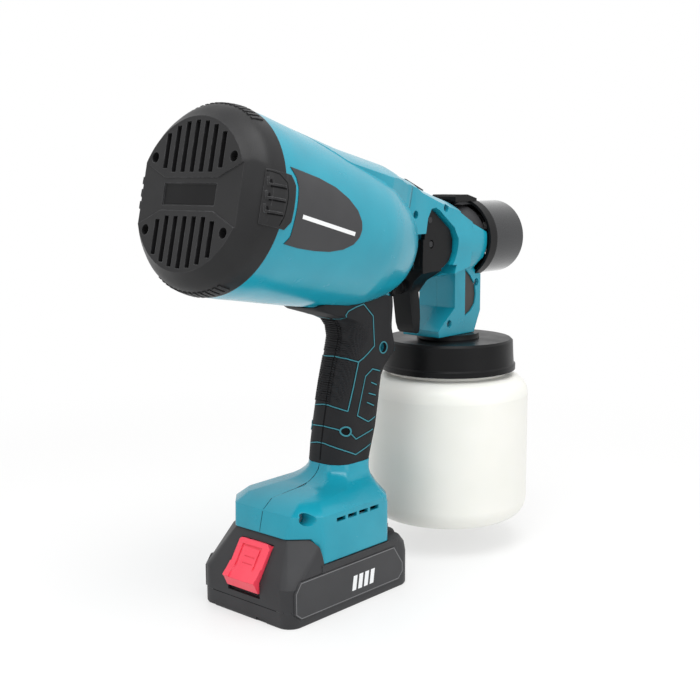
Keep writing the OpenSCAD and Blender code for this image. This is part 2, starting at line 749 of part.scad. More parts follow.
// ---------- spray head ----------
cheek = [
  [86.8, 214], [87.4, 219], [88.4, 225], [91, 228.9], [93.5, 229.2], [96.5, 227.9], [112.5, 216.4],
  [115.4, 210], [115, 202], [112, 196.5], [106, 192.6], [98, 190.6], [85, 189.6], [84.6, 196], [84.9, 205]
];
cheek_room = [
  [50, 215], [84, 215], [84.8, 219], [86, 224.5], [89.6, 230.2], [94, 231], [98, 229.2],
  [114.4, 217.6], [117.6, 210.4], [117.2, 201], [113.8, 194.8], [108, 188.6], [104, 186], [50, 186]
];
module head_outer() {
  // block behind the nozzle, in line with the barrel
  intersection() {
    tilt() rx([[-20, 0], [-20, 47.8], [-13, 47], [-7, 45.4], [6, 44.6], [13, 42.8], [34, 40.8], [56, 40],
      [74, 40], [74, 0]], 128);
    side([[63.4, 300], [63.4, 200], [84, 186], [116, 188], [134, 192], [134, 220.6], [121, 226.9],
      [118.5, 233.2], [106, 300]], -25, 25);
    plan([[40, -25], [72, -25], [84, -24], [134, -23.6], [134, 23.6], [84, 24], [72, 25], [40, 25]], 150, 300);
  }
  // round nozzle barrel
  intersection() {
    translate([0, 0, noz_z]) tx(100, 157, head_r, 0, 96);
    side([[90, 100], [146.4, 100], [146.4, 193.4], [154.2, 202], [155.2, 210.8], [121, 226.9], [90, 260]], -40, 40);
  }
  // column over the cup
  side([[110, 145.4], [149, 145.6], [156, 160], [156, 184.6], [148, 188.6], [148, 200], [116, 200],
    [122, 189], [127, 186], [127, 163.8], [109.4, 149.6]], -col_hw, col_hw);
}
module head_shell() {
  difference() {
    head_outer();
    // room for the trigger cheeks and shoulders
    for (s = [-1, 1]) {
      side(cheek_room, s > 0 ? 17.6 : -60, s > 0 ? 60 : -17.6);
    }
    side([[50, 215], [88.2, 215], [88.4, 204], [96, 196.4], [102, 193.6], [117, 193.6], [112, 180], [50, 180]], -60, 60);
    // seat of the fluid body
    translate([0, 0, noz_z]) tx(60, 100.2, 11.9);
    translate([0, 0, noz_z]) tx(100, 126, 15.1);
    translate([0, 0, noz_z]) rx([[125.9, 0], [125.9, 15.1], [126, 19], [146, 23], [170, 23], [170, 0]]);
    translate([cup_x, 0, 120]) cylinder(h = 80, r = 9.1, $fn = 48);
    // slots of the cross pin
    bb(85.5, 97.5, -60, 60, 205, 210.6);
    // release button and its spring
    tilt() {
      bb(17, 37.2, -5.4, 5.4, 33.4, 60);
      bb(12, 42, -7.4, 7.4, 33.4, 38.6);
      translate([27, 0, 25.4]) cylinder(h = 10, r = 3, $fn = 24);
    }
    // pivot bore
    ty(piv_x, piv_z, -60, 60, 2.02);
    for (q = head_posts) {
      ty(q[0], q[1], -60, 60, 1.35, 24);
      ty(q[0], q[1], -60, -q[2], 2.5, 24);
    }
    // pockets of the side inserts
    for (s = [-1, 1]) {
      translate([0, s*(col_hw - 0.4) + (s < 0 ? -10 : 0), 0]) side(leaf(0.12), s > 0 ? -1.2 : 0, s > 0 ? 10 : 11.2);
    }
    // clearance for the turning collar
    translate([0, 0, noz_z]) tx(149.4, 170, 27.6, 0, 96);
    // hollow of the column behind its wall
    difference() {
      bb(130, 153, -col_hw + 3, col_hw - 3, 149, 186);
      translate([cup_x, 0, 120]) cylinder(h = 80, r = 11.2, $fn = 48);
      bb(148, 160, -20, 20, 176, 190);
    }
  }
}
// X, Z, depth of the head seat
head_posts = [[72.5, 227.2, 19], [104.8, 230.4, 19], [121, 153.6, 11], [151.2, 179.4, 11]];
function leaf(g) = [[138.6 - g, 189 + g], [144, 184.4 + g], [149.6 + g, 177.6], [150.6 + g, 171], [149.4 + g, 165],
  [145, 160.4 - g], [138.6 - g, 157.4 - g]];
module head_right() {
  color(teal) right_side() head_shell();
}
module head_left() {
  color(teal) left_side() head_shell();
}
module head_vents() {
  color([0.25, 0.2, 0.18]) for (s = [-1, 1]) {
    side(leaf(0), s > 0 ? col_hw - 1.5 : -col_hw + 0.9, s > 0 ? col_hw - 0.9 : -col_hw + 1.5);
  }
}
module head_screws() {
  color(steel) for (q = head_posts) {
    ty(q[0], q[1], -q[2] - 0.5, q[2] - 2, 1.3, 24);
    ty(q[0], q[1], -q[2] - 1.6, -q[2] - 0.02, 2.3, 24);
  }
}
module fluid_body() {
  color(steel) difference() {
    union() {
      translate([0, 0, noz_z]) tx(79, 100.1, 11.8, 0, 64);
      translate([0, 0, noz_z]) tx(100.1, 148, 15, 0, 64);
      translate([cup_x, 0, 141.8]) cylinder(h = 60, r = 9, $fn = 48);
    }
    translate([0, 0, noz_z]) {
      // open rear tube
      tx(70, 97, 10, 0, 64);
      // needle bore, spring well, paint chamber
      tx(90, 160, needle_r + run, 0, 32);
      tx(98.5, 115, 4.2, 0, 32);
      tx(122, 160, 4.6, 0, 32);
      tx(117, 122.1, 3.4, 0, 32);
      // air passages around the chamber
      for (i = [0:7]) {
        rotate([22.5 + i*45, 0, 0]) translate([0, 10.6, 0]) tx(90, 160, 2.3, 0, 24);
      }
    }
    // paint rises here
    translate([cup_x, 0, 130]) cylinder(h = 77, r = 2.6, $fn = 32);
    translate([cup_x, 0, 130]) cylinder(h = 18, r = 3.55, $fn = 32);
    // slots of the cross pin
    bb(85.5, 97, -60, 60, 205.3, 210.5);
  }
}
module fluid_nozzle() {
  color([0.8, 0.65, 0.3]) translate([0, 0, noz_z]) difference() {
    rx([[143, 4.5], [148.1, 4.5], [148.1, 7], [158, 7], [170, 3], [176, 2], [176, 0], [143, 0]], 48);
    tx(140, 168, 3.2, 0, 32);
    rx([[167.9, 0], [167.9, 3.2], [172.6, 1], [180, 1], [180, 0]], 32);
  }
}
module nozzle_cone() {
  color(black) translate([0, 0, noz_z]) difference() {
    rx([[126.2, 15.05], [126.2, 18.8], [146, 22.8], [149.5, 22.8], [149.5, 20.6], [128, 16.6], [128, 15.05]], 96);
    // gap for the riser
    translate([cup_x, 0, -40]) cylinder(h = 40, r = 9.1, $fn = 48);
  }
}
module needle() {
  color(steel) translate([0, 0, noz_z]) difference() {
    union() {
      tx(87, 167, needle_r, 0, 32);
      rx([[166.9, 0], [166.9, needle_r], [172.4, 0.5], [174, 0.3], [174, 0]], 32);
      tx(88.6, 96.4, 3.6, 0, 32);
      tx(112, 113.6, 3.8, 0, 32);
    }
    ty(93.5, 207.9 - noz_z, -20, 20, 2.02);
  }
}
module needle_crosspin() {
  color(steel) ty(93.5, 207.9, -20.6, 20.6, 2);
}
module needle_spring() {
  color(steel) translate([0, 0, noz_z]) tx(98.6, 111.9, 3.6, 2.8, 32);
}
module needle_packing() {
  color([0.9, 0.9, 0.88]) translate([0, 0, noz_z]) tx(117.1, 121.9, 3.35, needle_r + 0.09, 32);
}
module trigger() {
  color(black) difference() {
    union() {
      for (s = [-1, 1]) {
        side(cheek, s > 0 ? 18 : -21, s > 0 ? 21 : -18);
        // inward flange along the rear edge of each cheek
        side([[84.7, 192], [87.4, 192], [87.6, 211], [85, 211]], s > 0 ? 13.6 : -21, s > 0 ? 21 : -13.6);
      }
      // shoulders that join the cheeks
      hull() {
        bb(84.8, 104, -21, 21, 190.4, 192.2);
        bb(86.8, 100.5, -12, 12, 184, 184.2);
      }
      hull() {
        bb(86.8, 100.5, -12, 12, 184, 184.2);
        bb(88.6, 98.2, -7, 7, 176, 176.2);
      }
      // lever
      side([[88.6, 176.2], [92, 156], [93.8, 151.6], [96, 149.4], [98.4, 149.4], [99.6, 151.4], [100, 160],
        [99.4, 170], [98.2, 176.2]], -7, 7);
    }
    ty(piv_x, piv_z, -60, 60, 2 + run);
    // upright slots that drive the cross pin
    for (z = [207.3, 208.5]) {
      ty(93.5, z, -60, 60, 2.15);
    }
    bb(93.5 - 2.15, 93.5 + 2.15, -60, 60, 207.3, 208.5);
  }
  // pad that meets the switch plunger
  color(black) intersection() {
    translate([0, 0, 180.4]) tx(84.6, 93, 5, 0, 32);
    bb(80, 100, -12, 12, 174, 189.5);
  }
}
module trigger_pin() {
  color(steel) ty(piv_x, piv_z, -21.4, 21.4, 2);
}
module release_button() {
  color(black) tilt() union() {
    side([[17.6, 36.8], [17.6, 45.4], [36.6, 42.4], [36.6, 36.8]], -5, 5);
    bb(13, 41, -7, 7, 37, 38.2);
    translate([27, 0, 33]) cylinder(h = 4, r = 1.6, $fn = 24);
  }
}
module release_spring() {
  color(steel) tilt() translate([27, 0, 25.6]) difference() {
    cylinder(h = 10.2, r = 2.6, $fn = 24);
    translate([0, 0, -1]) cylinder(h = 20, r = 1.9, $fn = 24);
  }
}
module pattern_collar() {
  color(black) translate([0, 0, noz_z]) difference() {
    union() {
      tx(149.8, 157.6, 27.4, 0, 96);
      intersection() {
        bb(133.4, 157.4, -10, 10, 20, 29.8);
        side([[133.4, 28.4], [135, 29.7], [147, 29.7], [157.4, 27], [157.4, 20], [133.4, 20]], -20, 20);
      }
    }
    tx(140, 160, shroud_r + 0.02, 0, 96);
    tx(130, 155.5, head_r + 0.75, 0, 96);
    tx(120, 150, 26.6, 0, 96);
  }
}
module nozzle_shroud() {
  color([0.3, 0.3, 0.31]) translate([0, 0, noz_z]) difference() {
    tx(156.2, 192.4, shroud_r, 0, 96);
    tx(160, 195, 23, 0, 96);
    tx(150, 170, 21, 0, 96);
  }
}
module air_cap() {
  color(dark) translate([0, 0, noz_z]) difference() {
    union() {
      tx(160.1, 163, 22.95, 0, 64);
      tx(162.9, 176, 12, 0, 48);
      for (s = [-1, 1]) {
        side([[162.8, s*13], [180, s*13], [184, s*17], [184, s*20], [162.8, s*20]], -4, 4);
      }
    }
    rx([[159, 0], [159, 10.4], [173, 10.4], [174.6, 3], [180, 3], [180, 0]], 48);
    for (i = [0:5]) {
      rotate([i*60 + 30, 0, 0]) translate([0, 17.4, 0]) tx(155, 170, 2.4, 0, 20);
    }
  }
}
module cup_neck() {
  color(black) translate([cup_x, 0, 0]) difference() {
    rz([[9.05, 141.7], [21.4, 141.7], [21, 143], [21, 145.3], [9.05, 145.3]]);
  }
}
module lid() {
  color(black) translate([cup_x, 0, 0]) difference() {
    rz([[0, 141.6], [42.6, 141.6], [44.1, 140.2], [44.6, 130], [45, 125], [46, 124.2], [46, 120.8], [45.4, 120.5],
      [41.2, 120.5], [41.2, 138.8], [0, 138.8]]);
    cylinder(h = 300, r = 3.6, $fn = 32);
    translate([26, 0, 100]) cylinder(h = 60, r = 1, $fn = 20);
  }
}
module lid_gasket() {
  color([0.8, 0.8, 0.78]) translate([cup_x, 0, 0]) rz([[35.5, 137.2], [41, 137.2], [41, 138.75], [35.5, 138.75]]);
}
module pickup_tube() {
  color([0.85, 0.87, 0.88]) translate([cup_x, 0, 32]) difference() {
    cylinder(h = 115.9, r = 3.5, $fn = 32);
    translate([0, 0, -1]) cylinder(h = 120, r = 2.4, $fn = 32);
  }
}
module pickup_strainer() {
  color([0.8, 0.8, 0.8]) translate([cup_x, 0, 24.4]) difference() {
    cylinder(h = 12, r = 7, $fn = 40);
    translate([0, 0, 1.2]) cylinder(h = 9, r = 5.8, $fn = 40);
    translate([0, 0, 7]) cylinder(h = 9, r = 3.52, $fn = 32);
    for (i = [0:7]) {
      rotate([0, 0, i*45]) bb(4, 9, -1, 1, 2, 8);
    }
  }
}
module cup() {
  w = cup_wall;
  color([0.93, 0.93, 0.91]) translate([cup_x, 0, 0]) difference() {
    union() {
      rotate_extrude($fn = 128) union() {
        translate([0, cup_z]) square([cup_r - 13, 90]);
        translate([0, cup_z + 13]) square([cup_r, 72.6]);
        translate([cup_r - 13, cup_z + 13]) circle(r = 13, $fn = 64);
        polygon([[0, 100], [cup_r, 104.4], [cup_r - 0.6, 108.4], [cup_r - 2.6, 112.2], [cup_r - 6, 115.2],
          [cup_r - 10.6, 117.2], [40.8, 118], [40.8, 136.9], [0, 136.9]]);
      }
    }
    rotate_extrude($fn = 128) union() {
      translate([0, cup_z + w]) square([cup_r - 13, 80]);
      translate([0, cup_z + 13]) square([cup_r - w, 72]);
      translate([cup_r - 13, cup_z + 13]) circle(r = 13 - w, $fn = 64);
      polygon([[0, 100], [cup_r - w, 103.9], [cup_r - w - 0.6, 107.6], [cup_r - w - 2.4, 111],
        [cup_r - w - 5.4, 113.6], [cup_r - w - 9.6, 115.3], [38.8, 116.2], [38.8, 140], [0, 140]]);
    }
  }
}

battery_case_lower();
battery_case_upper();
battery_side_panels();
battery_cells();
battery_cell_holder();
battery_board();
battery_contacts();
battery_latch_button();
battery_latch_spring();
battery_screws();
housing_right();
housing_left();
grip_right();
grip_left();
side_badges();
rear_cap();
cap_screws();
intake_filter();
motor_can();
motor_stator();
motor_rotor();
motor_bearings();
motor_mount();
motor_shaft();
impeller();
fan_shroud();
air_duct();
duct_seal();
control_board();
terminal_block();
switch_body();
switch_plunger();
wiring();
housing_screws();
head_right();
head_left();
head_vents();
head_screws();
fluid_body();
fluid_nozzle();
nozzle_cone();
needle();
needle_crosspin();
needle_spring();
needle_packing();
trigger();
trigger_pin();
release_button();
release_spring();
pattern_collar();
nozzle_shroud();
air_cap();
cup_neck();
lid();
lid_gasket();
pickup_tube();
pickup_strainer();
cup();
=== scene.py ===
import bpy, bmesh, json, math
from mathutils import Matrix, Vector
from mathutils.bvhtree import BVHTree


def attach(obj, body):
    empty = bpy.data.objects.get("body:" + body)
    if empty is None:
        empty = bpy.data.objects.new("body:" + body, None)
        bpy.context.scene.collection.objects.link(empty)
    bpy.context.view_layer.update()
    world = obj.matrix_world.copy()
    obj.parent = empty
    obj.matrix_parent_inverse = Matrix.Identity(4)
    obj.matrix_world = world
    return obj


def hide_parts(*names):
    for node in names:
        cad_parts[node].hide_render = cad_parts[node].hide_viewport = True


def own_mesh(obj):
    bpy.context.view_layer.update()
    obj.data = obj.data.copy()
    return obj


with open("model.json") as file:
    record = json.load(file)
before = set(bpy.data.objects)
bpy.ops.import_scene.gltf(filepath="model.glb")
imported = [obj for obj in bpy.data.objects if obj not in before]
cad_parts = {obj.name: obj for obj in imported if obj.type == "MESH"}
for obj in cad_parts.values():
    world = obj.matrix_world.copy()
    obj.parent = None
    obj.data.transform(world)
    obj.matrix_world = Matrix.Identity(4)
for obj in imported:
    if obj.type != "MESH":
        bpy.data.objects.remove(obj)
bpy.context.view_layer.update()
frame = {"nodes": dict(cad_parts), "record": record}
NODES = frame["nodes"]
MM = 0.001
WHITE = (1, 1, 1, 1)
# the drum and the head lean forwards round this point (mm), as in the CAD
LEAN = math.radians(12.84)
COS, SIN = math.cos(LEAN), math.sin(LEAN)
LEAN_X, LEAN_Z = 60, 208.6
SIDES = ((-1, "right"), (1, "left"))
# rays start this far out (mm) and reach this far (m)
FAR, REACH = 120, 0.4


# ---------------------------------------------------------------- materials
def srgb(r, g, b):
    """Scene linear colour of an 8 bit screen colour."""
    out = []
    for v in (r, g, b):
        v = v / 255
        out.append(v / 12.92 if v <= 0.04045 else ((v + 0.055) / 1.055) ** 2.4)
    return tuple(out) + (1.0,)


class Mat:
    """A node material on the Principled shader."""

    def __init__(self, name):
        self.m = bpy.data.materials.new(name)
        self.m.use_nodes = True
        self.t = self.m.node_tree
        self.p = self.t.nodes["Principled BSDF"]
        self.co = self.t.nodes.new("ShaderNodeTexCoord").outputs["Object"]

    def node(self, kind, **kw):
        n = self.t.nodes.new("ShaderNode" + kind)
        for k, v in kw.items():
            setattr(n, k, v)
        return n

    def link(self, a, b):
        self.t.links.new(a, b)

    def feed(self, socket, v):
        """Links a socket's output to the socket, or sets a plain value on it."""
        if isinstance(v, bpy.types.NodeSocket):
            self.link(v, socket)
        else:
            socket.default_value = v

    def math(self, op, a, b=None):
        n = self.node("Math", operation=op)
        self.feed(n.inputs[0], a)
        if b is not None:
            self.feed(n.inputs[1], b)
        return n.outputs[0]

    def noise(self, scale, detail, rough=0.55, stretch=None):
        n = self.node("TexNoise")
        n.inputs["Scale"].default_value = scale
        n.inputs["Detail"].default_value = detail
        n.inputs["Roughness"].default_value = rough
        co = self.co
        if stretch:
            mp = self.node("Mapping")
            mp.inputs["Scale"].default_value = stretch
            self.link(self.co, mp.inputs["Vector"])
            co = mp.outputs["Vector"]
        self.link(co, n.inputs["Vector"])
        return n.outputs["Fac"]

    def remap(self, src, a, b, lo=0.3, hi=0.7):
        r = self.node("MapRange")
        r.inputs["From Min"].default_value = lo
        r.inputs["From Max"].default_value = hi
        r.inputs["To Min"].default_value = a
        r.inputs["To Max"].default_value = b
        self.link(src, r.inputs["Value"])
        return r.outputs["Result"]

    def mix(self, fac, a, b):
        n = self.node("Mix", data_type="RGBA")
        self.link(fac, n.inputs["Factor"])
        for sock, v in zip([i for i in n.inputs if i.type == "RGBA"], (a, b)):
            self.feed(sock, v)
        return [o for o in n.outputs if o.type == "RGBA"][0]

    def cloud(self, scale, a, b):
        """Base colour that drifts between two near colours."""
        return self.mix(self.remap(self.noise(scale, 2), 0, 1), a, b)

    def colour(self, src):
        self.link(src, self.p.inputs["Base Color"])

    def rough(self, src, a, b):
        self.link(self.remap(src, a, b), self.p.inputs["Roughness"])

    def bump(self, height, strength, distance, normal=None):
        b = self.node("Bump")
        b.inputs["Strength"].default_value = strength
        b.inputs["Distance"].default_value = distance
        self.link(height, b.inputs["Height"])
        if normal is not None:
            self.link(normal, b.inputs["Normal"])
        return b.outputs["Normal"]

    def edge(self, radius):
        b = self.node("Bevel", samples=4)
        b.inputs["Radius"].default_value = radius
        return b.outputs["Normal"]

    def normal(self, src):
        self.link(src, self.p.inputs["Normal"])

    def set(self, **kw):
        names = {"metal": "Metallic", "spec": "Specular IOR Level", "coat": "Coat Weight",
                 "coat_rough": "Coat Roughness", "sss": "Subsurface Weight",
                 "sss_radius": "Subsurface Radius", "sss_scale": "Subsurface Scale"}
        for k, v in kw.items():
            self.p.inputs[names[k]].default_value = v


def plastic(name, col, col2, rough, grain, depth, edge=0.0005, spec=0.5, worn=None):
    """Moulded plastic: faint cloudiness in the colour, grain in the surface, rounded edges.
    worn is the colour that shows along the edges."""
    m = Mat(name)
    base = m.cloud(38, col, col2)
    nrm = m.edge(edge) if edge else None
    if worn:
        flat = m.node("NewGeometry").outputs["Normal"]
        dot = m.node("VectorMath", operation="DOT_PRODUCT")
        m.link(nrm, dot.inputs[0])
        m.link(flat, dot.inputs[1])
        near = m.remap(dot.outputs["Value"], 1, 0, 0.80, 0.995)
        part = m.math("MULTIPLY", near, m.remap(m.noise(220, 3), 0.1, 0.9))
        base = m.mix(part, base, worn)
    m.colour(base)
    m.rough(m.noise(60, 4), rough - 0.05, rough + 0.06)
    m.normal(m.bump(m.noise(grain, 2, 0.6), 1.0, depth, nrm))
    m.set(spec=spec)
    return m.m


def metal(name, col, rough, stretch=(1, 1, 1), coat=0.0):
    """Metal with fine lines, drawn out by stretch."""
    m = Mat(name)
    lines = m.noise(900, 2, 0.5, stretch)
    dark = tuple(c * 0.85 for c in col[:3]) + (1,)
    m.colour(m.mix(m.remap(lines, 0, 1), dark, col))
    m.rough(lines, rough - 0.06, rough + 0.08)
    m.normal(m.bump(lines, 0.25, 0.00005, m.edge(0.0003)))
    m.set(metal=1.0, coat=coat)
    return m.m


def teal_mat():
    """The shells' plastic, smoother than the black and with a faint coat."""
    m = Mat("teal_shell")
    m.colour(m.cloud(30, srgb(16, 140, 162), srgb(24, 150, 172)))
    m.rough(m.noise(70, 4), 0.20, 0.28)
    m.normal(m.bump(m.noise(420, 2), 0.5, 0.00002, m.edge(0.0007)))
    m.set(spec=0.35, coat=0.12, coat_rough=0.08)
    return m.m


def rubber_mat():
    """Grip rubber: fine grain everywhere, a fine moulded grid on the two rear panels."""
    grid_pitch = 0.00136
    # the grid ends ahead at the line X = slope * Z + start, and at two heights
    slope, start = 0.45, -0.0295
    m = Mat("grip_rubber")
    m.colour(m.cloud(38, srgb(27, 27, 29), srgb(33, 33, 35)))
    m.rough(m.noise(60, 4), 0.58, 0.70)
    xyz = m.node("SeparateXYZ")
    m.link(m.co, xyz.inputs[0])
    x, z = xyz.outputs[0], xyz.outputs[2]
    k = 2 * math.pi / grid_pitch
    rows = m.math("SINE", m.math("MULTIPLY", z, k))
    cols = m.math("SINE", m.math("MULTIPLY", x, k))
    grid = m.math("MAXIMUM", rows, cols)
    front = m.math("ADD", m.math("MULTIPLY", z, slope), start)
    ahead = m.remap(m.math("SUBTRACT", front, x), 0, 1, 0.0, 0.004)
    low = m.remap(z, 0, 1, 0.1135, 0.1165)
    top = m.remap(z, 1, 0, 0.160, 0.166)
    height = m.math("MULTIPLY", m.math("MULTIPLY", grid, ahead), m.math("MULTIPLY", low, top))
    nrm = m.bump(height, 0.8, 0.00022, m.edge(0.0005))
    m.normal(m.bump(m.noise(1300, 2, 0.6), 1.0, 0.00005, nrm))
    m.set(spec=0.22)
    return m.m


def cup_mat():
    """Milky plastic that lets a little light in."""
    m = Mat("milky_cup")
    m.colour(m.cloud(25, srgb(232, 232, 225), srgb(237, 236, 230)))
    m.rough(m.noise(200, 3), 0.32, 0.42)
    m.normal(m.bump(m.noise(700, 2), 0.4, 0.00002, m.edge(0.0005)))
    m.set(spec=0.35, sss=0.12, sss_radius=(0.004, 0.0038, 0.003), sss_scale=1.0)
    return m.m


# finishes of the record's slots
MATS = {
    "teal": teal_mat(),
    "black": plastic("black_shell", srgb(44, 44, 46), srgb(50, 50, 52), 0.48, 1500, 0.00004, 0.0006,
                     spec=0.3, worn=srgb(84, 84, 86)),
    "charcoal": plastic("charcoal_inlay", srgb(48, 48, 50), srgb(54, 54, 56), 0.38, 1800, 0.00002,
                        0.0004, spec=0.35),
    "rubber": rubber_mat(),
    "red": plastic("latch_red", srgb(238, 62, 84), srgb(244, 72, 92), 0.34, 900, 0.00002, 0.0005),
    "steel": metal("screw_steel", srgb(186, 186, 190), 0.34),
    "gunmetal": metal("shroud_metal", srgb(40, 41, 44), 0.24, (0.15, 6, 6), 0.8),
    "aluminium": metal("bright_metal", srgb(205, 207, 210), 0.32),
    "brass": metal("brass_metal", srgb(214, 180, 110), 0.30),
    "copper": metal("copper_wire", srgb(196, 120, 76), 0.36),
    "board": plastic("board_green", srgb(30, 96, 60), srgb(36, 104, 66), 0.4, 500, 0.00002),
    "wrap": plastic("cell_wrap", srgb(60, 150, 120), srgb(66, 158, 126), 0.3, 300, 0.00001),
    "foam": plastic("filter_foam", srgb(40, 40, 41), srgb(62, 62, 63), 0.9, 2400, 0.0006, 0),
    "seal": plastic("seal_ring", srgb(208, 206, 198), srgb(214, 212, 204), 0.5, 500, 0.00002),
    "fluoro": plastic("packing", srgb(232, 232, 228), srgb(238, 238, 234), 0.45, 500, 0.00002),
    "clear": plastic("tube_clear", srgb(222, 226, 228), srgb(228, 232, 234), 0.22, 300, 0.00001),
    "cup": cup_mat(),
    "wire": plastic("wire_skin", srgb(170, 34, 34), srgb(178, 40, 40), 0.42, 500, 0.00001),
    "magnet": metal("magnet_coat", srgb(104, 104, 108), 0.4),
    "mesh": plastic("grille_dark", srgb(44, 38, 36), srgb(50, 44, 40), 0.5, 900, 0.00003),
}
# finishes of the trim, and of nodes that are darker than their slot
TRIM = {
    "line_teal": plastic("line_teal", srgb(52, 124, 136), srgb(60, 132, 144), 0.4, 900, 0.00001, 0,
                         spec=0.25),
    "gap_dark": plastic("gap_dark", srgb(10, 24, 30), srgb(14, 30, 36), 0.7, 900, 0.00001, 0,
                        spec=0.1),
    # dark for the real joints, and used as painted shade in the grip's grooves and lower screw hole
    # and below the cap's ribs
    "joint_and_painted_shade_black": plastic("joint_and_painted_shade_black", srgb(14, 14, 15), srgb(18, 18, 19), 0.7, 900, 0.00001, 0,
                         spec=0.1),
    "white_print": plastic("white_print", srgb(232, 233, 234), srgb(238, 239, 240), 0.5, 900,
                           0.00001, 0),
    "black_gloss": plastic("black_gloss", srgb(16, 16, 17), srgb(20, 20, 21), 0.36, 1500, 0.00002,
                           0.0006, spec=0.14, worn=srgb(44, 44, 46)),
    "cap_black": plastic("cap_black", srgb(32, 32, 33), srgb(37, 37, 38), 0.44, 1500, 0.00004,
                         0.0007, spec=0.22, worn=srgb(92, 92, 94)),
    "dark_steel": metal("dark_steel", srgb(66, 66, 68), 0.3),
    # painted highlight: a light strip on each battery inlay's edge, where its bevel would catch
    # light
    "painted_highlight_edge": plastic("painted_highlight_edge", srgb(104, 104, 106), srgb(112, 112, 114), 0.35, 900,
                          0.00001, 0),
}
DARKER = {"trigger": "black_gloss", "lid": "black_gloss", "cup_neck": "black_gloss",
          "pattern_collar": "black_gloss", "switch_plunger": "black_gloss",
          "trigger_pin": "dark_steel", "needle_crosspin": "dark_steel", "rear_cap": "cap_black"}
SLOT = {s["node"]: s["material_slot"] for s in frame["record"]["subparts"]}
SMOOTH_BELOW = 34  # degrees
WELD = 0.000004  # m


def smooth_group():
    """Welds a CAD mesh and smooths every edge that turns by less than SMOOTH_BELOW."""
    g = bpy.data.node_groups.new("smooth_by_angle", "GeometryNodeTree")
    for way in ("INPUT", "OUTPUT"):
        g.interface.new_socket("Geometry", in_out=way, socket_type="NodeSocketGeometry")
    new = g.nodes.new
    start, end = new("NodeGroupInput"), new("NodeGroupOutput")
    bare = new("GeometryNodeRemoveAttribute")
    bare.inputs["Name"].default_value = "custom_normal"
    weld = new("GeometryNodeMergeByDistance")
    weld.inputs["Distance"].default_value = WELD
    angle = new("GeometryNodeInputMeshEdgeAngle")
    flat = new("ShaderNodeMath")
    flat.operation = "LESS_THAN"
    flat.inputs[1].default_value = math.radians(SMOOTH_BELOW)
    edges, faces = new("GeometryNodeSetShadeSmooth"), new("GeometryNodeSetShadeSmooth")
    edges.domain, faces.domain = "EDGE", "FACE"
    chain = [start, bare, weld, edges, faces, end]
    for a, b in zip(chain, chain[1:]):
        src = [o for o in a.outputs if o.type == "GEOMETRY"][0]
        dst = [i for i in b.inputs if i.type == "GEOMETRY"][0]
        g.links.new(src, dst)
    g.links.new(angle.outputs["Unsigned Angle"], flat.inputs[0])
    g.links.new(flat.outputs[0], edges.inputs["Shade Smooth"])
    faces.inputs["Shade Smooth"].default_value = True
    return g


def dress_nodes():
    """Gives every CAD node its finish and smooth shading."""
    group = smooth_group()
    for name, obj in NODES.items():
        obj.data.materials.clear()
        obj.data.materials.append(TRIM[DARKER[name]] if name in DARKER else MATS[SLOT[name]])
        obj.modifiers.new("smooth", "NODES").node_group = group


# ---------------------------------------------------------------- tools for trim on the CAD skins
class Skin:
    """The surface of some CAD nodes, to lay trim on. Places are in mm, as in the CAD.
    A hit is a point (m) and the way out of the surface there."""

    def __init__(self, *names):
        verts, faces = [], []
        for name in names:
            mesh = NODES[name].data
            base = len(verts)
            verts += [v.co.copy() for v in mesh.vertices]
            faces += [[base + i for i in p.vertices] for p in mesh.polygons]
        self.tree = BVHTree.FromPolygons(verts, faces)

    def hit(self, p, d):
        loc, nor, _, _ = self.tree.ray_cast(Vector(p) * MM, Vector(d).normalized(), REACH)
        if loc is None:
            return None
        return (loc, nor if nor.dot(Vector(d)) < 0 else -nor)

    def rays(self, pairs):
        """Hits of pairs of a place and a direction. Rays that miss are left out."""
        out = [self.hit(p, d) for p, d in pairs]
        return [h for h in out if h]

    def side(self, path, s, step):
        """Hits along a path of X, Z seen from the right (s = -1) or left (s = 1)."""
        return self.rays([((x, s * FAR, z), (0, -s, 0)) for x, z in fine(path, step)])

    def ring(self, x, z, r, s, n=28):
        """Closed loop of hits round a point seen from the side."""
        turns = (2 * math.pi * i / n for i in range(n))
        pts = [(x + r * math.cos(a), z + r * math.sin(a)) for a in turns]
        return self.rays([((px, s * FAR, pz), (0, -s, 0)) for px, pz in pts])

    def lean_side(self, path, s):
        """Hits along a path of X, Z in the leaning frame, seen from the side."""
        return self.rays([lean_ray(x, s * FAR, z, 0, -s, 0) for x, z in fine(path, 1)])


def fine(path, step):
    """The path with more points, about a step apart."""
    out = []
    for a, b in zip(path, path[1:]):
        n = max(1, round(math.dist(a, b) / step))
        out += [tuple(p + (q - p) * i / n for p, q in zip(a, b)) for i in range(n)]
    return out + [tuple(path[-1])]


def leaning(x, y, z):
    """World mm of a point in the leaning frame."""
    return (LEAN_X + x * COS + z * SIN, y, LEAN_Z - x * SIN + z * COS)


def lean_ray(x, y, z, dx, dy, dz):
    """A place and direction of the leaning frame as a pair for Skin.rays."""
    return (leaning(x, y, z), (dx * COS + dz * SIN, dy, -dx * SIN + dz * COS))


